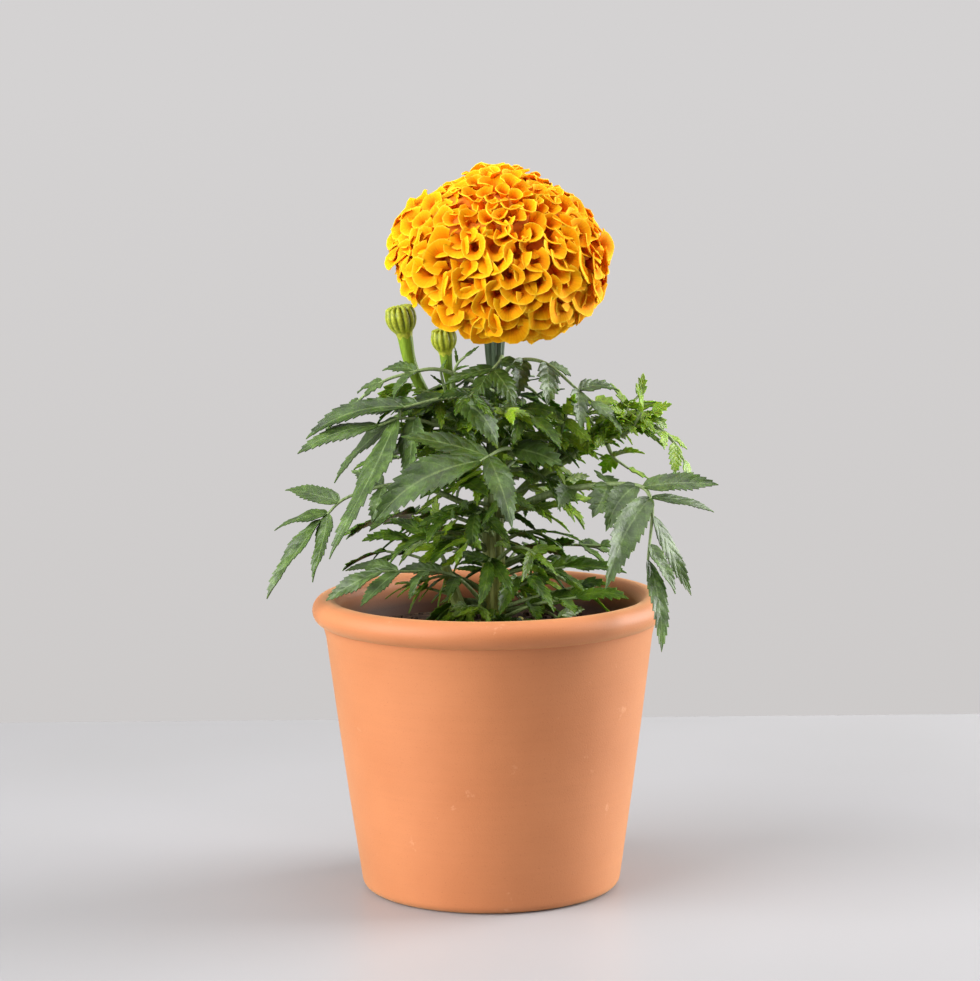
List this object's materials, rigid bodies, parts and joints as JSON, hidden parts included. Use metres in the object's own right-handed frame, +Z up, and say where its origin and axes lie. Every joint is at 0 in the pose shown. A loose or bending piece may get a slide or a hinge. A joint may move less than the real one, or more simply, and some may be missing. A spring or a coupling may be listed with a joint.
{
  "type": "potted african marigold",
  "caption": "Marigold with one large orange bloom, green buds and toothed compound leaves, growing from compost in a tapered terracotta pot with a rolled rim.",
  "frame": {"origin": "middle of the pot's underside, on the surface the pot stands on", "axes": "+Z up along the pot's axis, -Y towards the side the bloom leans to, +X to the right as seen from there"},
  "size_m": [0.1758, 0.1392, 0.2871],
  "materials": {
    "terracotta": "matte",
    "compost": "matte",
    "petal": "matte",
    "leaf": "matte",
    "young_leaf": "matte",
    "stem": "matte",
    "bud": "matte"
  },
  "bodies": {
    "root": {"bloom": "petal", "branch_right": "stem", "bud_1": "bud", "bud_2": "bud", "leaf_back_1": "leaf", "leaf_back_2": "leaf", "leaf_back_3": "leaf", "leaf_back_4": "leaf", "leaf_back_5": "leaf", "leaf_back_6": "leaf", "leaf_back_7": "leaf", "leaf_back_8": "leaf", "leaf_back_9": "leaf", "leaf_back_lit": "young_leaf", "leaf_centre": "leaf", "leaf_foot_front": "leaf", "leaf_foot_right": "leaf", "leaf_front_low": "leaf", "leaf_front_mid": "leaf", "leaf_front_right": "leaf", "leaf_low_left": "leaf", "leaf_lower_left": "leaf", "leaf_middle": "leaf", "leaf_middle_low": "leaf", "leaf_neck": "leaf", "leaf_over_left": "leaf", "leaf_right": "leaf", "leaf_right_low": "leaf", "leaf_rim_left": "leaf", "leaf_shoot_arch": "young_leaf", "leaf_shoot_back": "young_leaf", "leaf_shoot_fan": "young_leaf", "leaf_shoot_front": "young_leaf", "leaf_shoot_low": "young_leaf", "leaf_shoot_mid": "young_leaf", "leaf_top_left": "leaf", "leaf_upper_left": "leaf", "leaf_upper_right": "leaf", "leaf_young_left": "young_leaf", "main_stem": "stem", "pot": "terracotta", "soil": "compost", "stem_left": "stem"}
  },
  "joints": []
}
